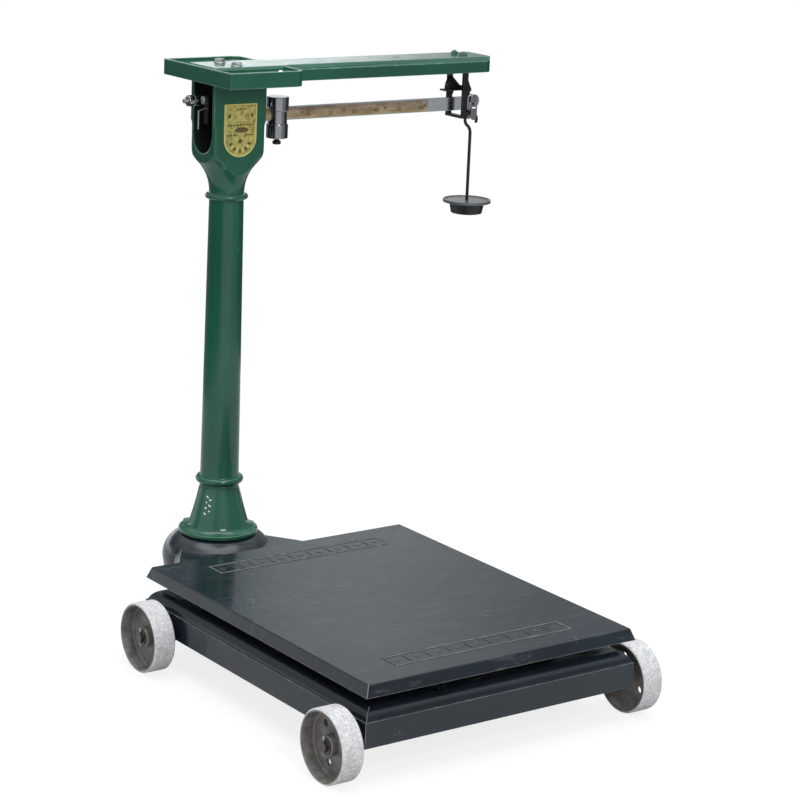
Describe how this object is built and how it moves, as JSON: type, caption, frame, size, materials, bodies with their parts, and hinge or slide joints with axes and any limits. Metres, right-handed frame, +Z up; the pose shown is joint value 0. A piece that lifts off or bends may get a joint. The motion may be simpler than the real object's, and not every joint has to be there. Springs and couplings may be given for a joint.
{
  "type": "platform scale",
  "caption": "Beam platform scale: cast deck on a wheeled base, column with forked head, sliding poise and a hanger for loose weights.",
  "frame": {"origin": "middle of the footprint's box, on the floor under the wheels", "axes": "+X along the weigh beam towards the hanger, +Y from the deck to the column, +Z up"},
  "size_m": [1.011, 1.102, 1.11],
  "materials": {
    "green_paint": "deep green gloss enamel on cast iron",
    "green_bolt": "green gloss enamel over bolt heads, worn at the edges",
    "dark_paint": "blue-black gloss enamel on cast iron, worn light at the sharp edges",
    "black_paint": "black gloss enamel on forged steel",
    "raw_iron": "dark cast iron, primed",
    "wheel_iron": "cast iron with a rough turned tread",
    "bare_steel": "zinc plated steel",
    "hard_steel": "ground hard steel",
    "beam_steel": "satin nickel plated steel",
    "scale_brass": "brown brass, etched with plain marks and numbers",
    "rivet": "dark brass",
    "gold_label": null,
    "chrome": "polished chrome plate"
  },
  "bodies": {
    "base": {"base_frame": "dark_paint", "fulcrum_stands": "raw_iron", "front_axle": "bare_steel", "rear_axle": "bare_steel", "wheel_washers": "bare_steel", "cotter_pins": "bare_steel", "column_foot": "green_paint", "foot_bolts": "green_bolt", "column": "green_paint", "head": "green_paint", "fulcrum_bearings": "hard_steel", "label_plate": "gold_label", "cap_tray": "green_paint", "beam_arm": "green_paint", "cap_bolts": "bare_steel", "cap_washers": "bare_steel", "tray_screws": "chrome", "trig_loop": "black_paint", "loop_bolts": "bare_steel", "loop_nuts": "bare_steel", "latch_pin": "black_paint"},
    "weigh_beam": {"beam_bar": "beam_steel", "fulcrum_knife": "hard_steel", "load_knife": "hard_steel", "end_knife": "hard_steel", "scale_plate": "scale_brass", "plate_rivets": "rivet", "balance_screw": "bare_steel", "tail_wire": "bare_steel"},
    "balance_weight": {"balance_nut": "chrome"},
    "poise": {"poise_upper": "chrome", "poise_lower": "chrome"},
    "poise_lock": {"poise_knob": "black_paint"},
    "steelyard": {"load_stirrup": "raw_iron", "steelyard_rod": "bare_steel", "tip_stirrup": "raw_iron"},
    "lever_long": {"long_lever": "raw_iron", "long_knives": "hard_steel"},
    "lever_short": {"short_lever": "raw_iron", "short_knives": "hard_steel"},
    "link": {"lever_link": "raw_iron"},
    "deck": {"platform": "dark_paint", "platform_feet": "raw_iron"},
    "stirrup": {"end_stirrup": "chrome"},
    "hanger": {"hanger_rod": "black_paint", "hanger_disc": "black_paint", "hanger_cup": "black_paint"},
    "beam_latch": {"latch": "black_paint"},
    "front_left_wheel": {"wheel_front_left": "wheel_iron"},
    "front_right_wheel": {"wheel_front_right": "wheel_iron"},
    "rear_left_wheel": {"wheel_rear_left": "wheel_iron"},
    "rear_right_wheel": {"wheel_rear_right": "wheel_iron"}
  },
  "joints": [
    {"name": "beam_tilt", "type": "hinge", "parent": "base", "child": "weigh_beam", "pos_m": [-0.1045, 0.426, 1], "axis": [0, 1, 0], "range_deg": [-0.95, 0.95]},
    {"name": "poise_slide", "type": "slide", "parent": "weigh_beam", "child": "poise", "axis": [1, 0, 0], "range_m": [-0.015, 0.37]},
    {"name": "poise_lock_turn", "type": "hinge", "parent": "poise", "child": "poise_lock", "pos_m": [-0.0335, 0.426, 0.945], "axis": [0, 0, 1], "continuous": true},
    {"name": "balance_travel", "type": "slide", "parent": "weigh_beam", "child": "balance_weight", "axis": [1, 0, 0], "range_m": [-0.005, 0.01]},
    {"name": "rod_lift", "type": "slide", "parent": "base", "child": "steelyard", "axis": [0, 0, 1], "range_m": [-0.00073, 0.00073]},
    {"name": "long_lever_tilt", "type": "hinge", "parent": "base", "child": "lever_long", "pos_m": [-0.1485, -0.494, 0.107], "axis": [1, 0, 0], "range_deg": [-0.04562, 0.04562]},
    {"name": "link_lift", "type": "slide", "parent": "base", "child": "link", "axis": [0, 0, 1], "range_m": [-0.00026273, 0.00026273]},
    {"name": "short_lever_tilt", "type": "hinge", "parent": "base", "child": "lever_short", "pos_m": [-0.1485, 0.166, 0.0855], "axis": [-1, 0, 0], "range_deg": [-0.04562, 0.04562]},
    {"name": "deck_float", "type": "slide", "parent": "base", "child": "deck", "axis": [0, 0, 1], "range_m": [-0.00009306, 0.00009306]},
    {"name": "stirrup_swing", "type": "hinge", "parent": "weigh_beam", "child": "stirrup", "pos_m": [0.4545, 0.426, 1], "axis": [0, 1, 0], "range_deg": [-10, 10]},
    {"name": "hanger_swing", "type": "hinge", "parent": "stirrup", "child": "hanger", "pos_m": [0.4545, 0.426, 0.972], "axis": [0, 1, 0], "range_deg": [-15, 15]},
    {"name": "latch_open", "type": "hinge", "parent": "base", "child": "beam_latch", "pos_m": [0.4215, 0.426, 1.033], "axis": [0, 1, 0], "range_deg": [0, 80]},
    {"name": "front_left_spin", "type": "hinge", "parent": "base", "child": "front_left_wheel", "pos_m": [-0.4835, -0.484, 0.067], "axis": [1, 0, 0], "continuous": true},
    {"name": "front_right_spin", "type": "hinge", "parent": "base", "child": "front_right_wheel", "pos_m": [0.1865, -0.484, 0.067], "axis": [1, 0, 0], "continuous": true},
    {"name": "rear_left_spin", "type": "hinge", "parent": "base", "child": "rear_left_wheel", "pos_m": [-0.4835, 0.134, 0.067], "axis": [1, 0, 0], "continuous": true},
    {"name": "rear_right_spin", "type": "hinge", "parent": "base", "child": "rear_right_wheel", "pos_m": [0.1865, 0.134, 0.067], "axis": [1, 0, 0], "continuous": true}
  ],
  "couplings": [
    {"joint": "rod_lift", "follows": "beam_tilt", "m_per_rad": 0.044},
    {"joint": "long_lever_tilt", "follows": "beam_tilt", "ratio": 0.047826},
    {"joint": "link_lift", "follows": "beam_tilt", "m_per_rad": 0.015783},
    {"joint": "short_lever_tilt", "follows": "beam_tilt", "ratio": 0.047826},
    {"joint": "deck_float", "follows": "beam_tilt", "m_per_rad": 0.00559}
  ]
}
